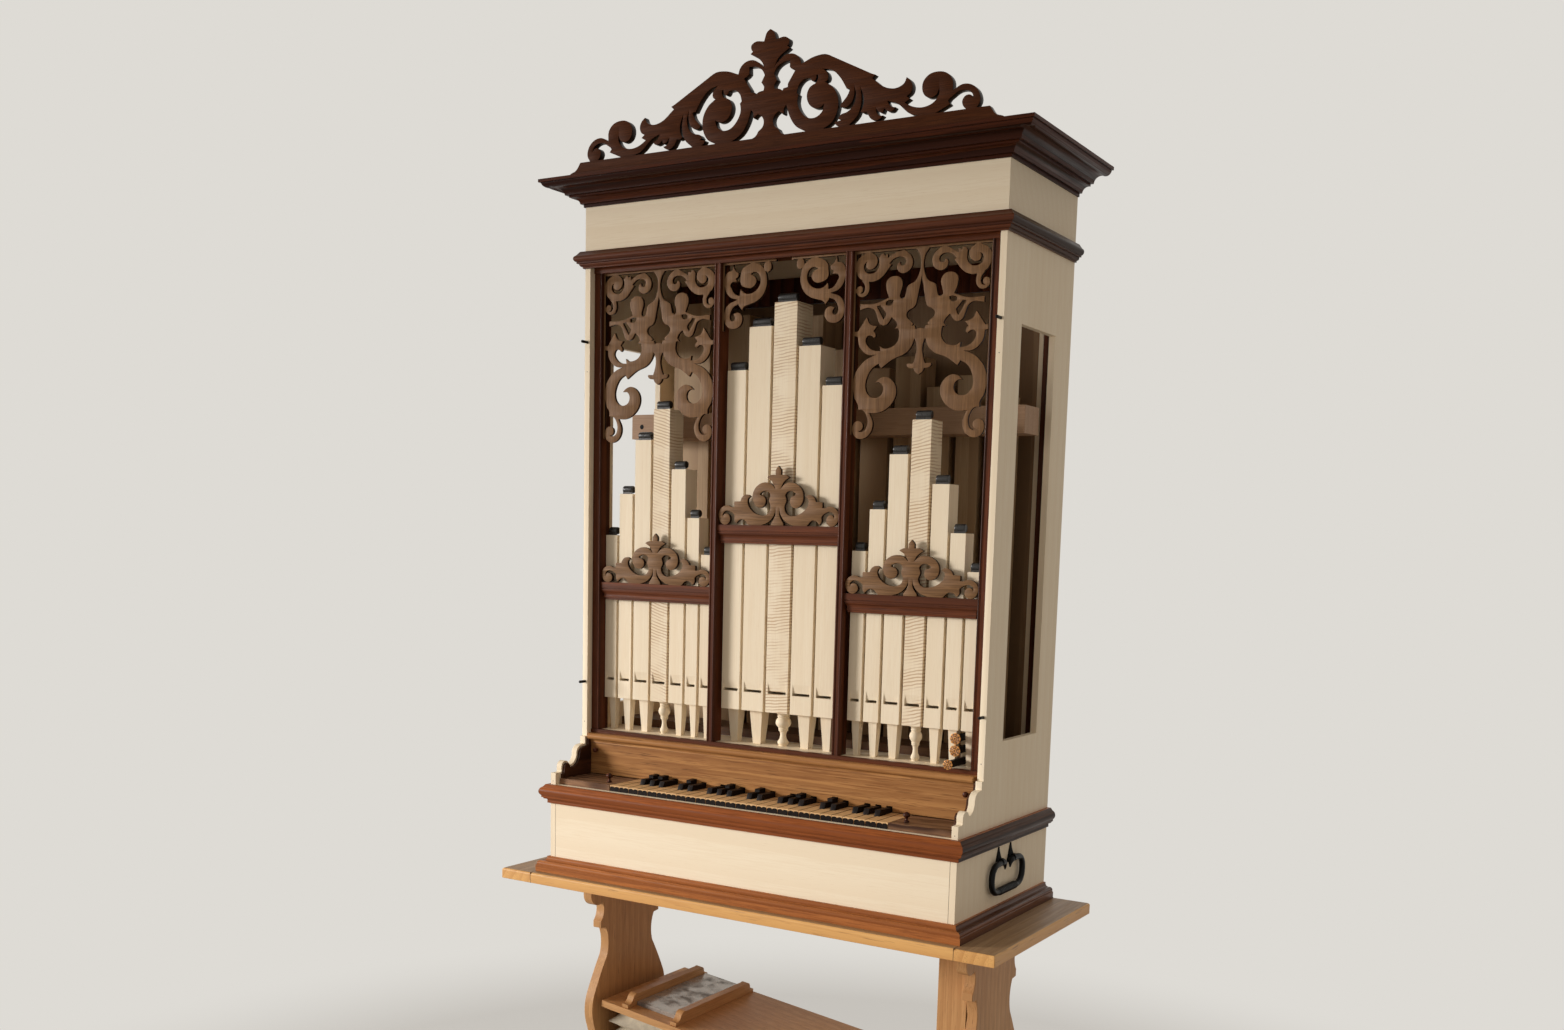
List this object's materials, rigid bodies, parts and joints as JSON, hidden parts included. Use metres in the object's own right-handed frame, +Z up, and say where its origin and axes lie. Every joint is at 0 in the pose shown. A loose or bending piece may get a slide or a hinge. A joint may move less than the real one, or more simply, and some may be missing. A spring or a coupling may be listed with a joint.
{
  "type": "table positive pipe organ on an oak stand",
  "caption": "Small cased pipe organ with an open pipe front in bays, a short keyboard, a carved crest and a weighted wedge bellows under its oak table stand.",
  "frame": {"origin": "on the floor, below the middle of the table top", "axes": "+Z up, the keyboard and the pipe front face -Y, the treble end of the keyboard is towards +X"},
  "size_m": [1.1222, 0.47, 2.377],
  "materials": {
    "oak_table": "oiled oak, satin",
    "oak_stand": "oiled oak, satin",
    "oak_bellows": "oiled oak, satin",
    "leather": "alum-tawed sheepskin, matt",
    "lead": "dull grey lead",
    "walnut_moulding": "polished walnut, satin",
    "maple_panel": "pale waxed maple",
    "pine_board": "plain softwood",
    "boxwood": "polished boxwood",
    "blackwood": "black stained, satin",
    "walnut_block": "waxed walnut",
    "walnut_frame": "polished walnut, satin",
    "walnut_fretwork": "sawn walnut, waxed",
    "pipe_wood": "planed maple",
    "rear_pipe_wood": "planed softwood",
    "iron": "black iron",
    "gilt_rosette": "gilt turned wood"
  },
  "bodies": {
    "case": {"bellows_bottom_board": "oak_bellows", "bellows_ribs": "leather", "case_floor": "pine_board", "cheek_linings": "walnut_block", "cornice_moulding": "walnut_moulding", "crest": "walnut_fretwork", "door_catches": "iron", "foot_left": "oak_stand", "foot_right": "oak_stand", "frame_bottom_rail": "walnut_frame", "frame_posts": "walnut_frame", "frame_stiles": "walnut_frame", "frame_top_rail": "walnut_frame", "frieze": "maple_panel", "front_panel": "maple_panel", "handle_plates": "iron", "key_bed": "pine_board", "key_blocks": "walnut_block", "leg_left": "oak_stand", "leg_right": "oak_stand", "lift_knobs": "walnut_block", "lower_back": "pine_board", "name_board": "walnut_block", "name_board_knobs": "walnut_block", "name_moulding": "walnut_moulding", "natural_keys": "boxwood", "pipe_feet": "pipe_wood", "pipe_shades": "walnut_fretwork", "pipes_centre": "pipe_wood", "pipes_left": "pipe_wood", "pipes_right": "pipe_wood", "plinth_moulding": "walnut_moulding", "rack_rail": "walnut_frame", "rear_frame": "walnut_frame", "rear_pipes": "rear_pipe_wood", "roof_board": "pine_board", "sharp_keys": "blackwood", "side_left": "maple_panel", "side_right": "maple_panel", "stop_jamb": "walnut_frame", "stretchers": "oak_stand", "table_top": "oak_table", "toe_board": "pine_board", "transom_crests": "walnut_fretwork", "transoms": "walnut_moulding", "tuning_rolls": "lead", "upper_moulding": "walnut_moulding", "waist_moulding": "walnut_moulding", "wind_chest": "pine_board", "wind_trunk": "oak_stand"},
    "bellows_lid": {"bellows_top_board": "oak_bellows", "bellows_cleats": "oak_bellows", "lead_weight": "lead"},
    "handle_left": {"handle_left": "iron"},
    "handle_right": {"handle_right": "iron"},
    "stop_upper": {"stop_upper": "gilt_rosette"},
    "stop_middle": {"stop_middle": "gilt_rosette"},
    "stop_lower": {"stop_lower": "gilt_rosette"}
  },
  "joints": [
    {"name": "bellows_hinge", "type": "hinge", "parent": "case", "child": "bellows_lid", "pos_m": [0.3451, 0.072, 0.354], "axis": [0, 1, 0], "range_deg": [-5.6, 0], "deforming": ["bellows_ribs"]},
    {"name": "handle_left_swing", "type": "hinge", "parent": "case", "child": "handle_left", "pos_m": [-0.4731, 0.0155, 0.874], "axis": [0, 1, 0], "range_deg": [0, 95]},
    {"name": "handle_right_swing", "type": "hinge", "parent": "case", "child": "handle_right", "pos_m": [0.4731, 0.0155, 0.874], "axis": [0, -1, 0], "range_deg": [0, 95]},
    {"name": "stop_upper_slide", "type": "slide", "parent": "case", "child": "stop_upper", "axis": [0, -1, 0], "range_m": [0, 0.028]},
    {"name": "stop_middle_slide", "type": "slide", "parent": "case", "child": "stop_middle", "axis": [0, -1, 0], "range_m": [0, 0.028]},
    {"name": "stop_lower_slide", "type": "slide", "parent": "case", "child": "stop_lower", "axis": [0, -1, 0], "range_m": [-0.028, 0]}
  ]
}
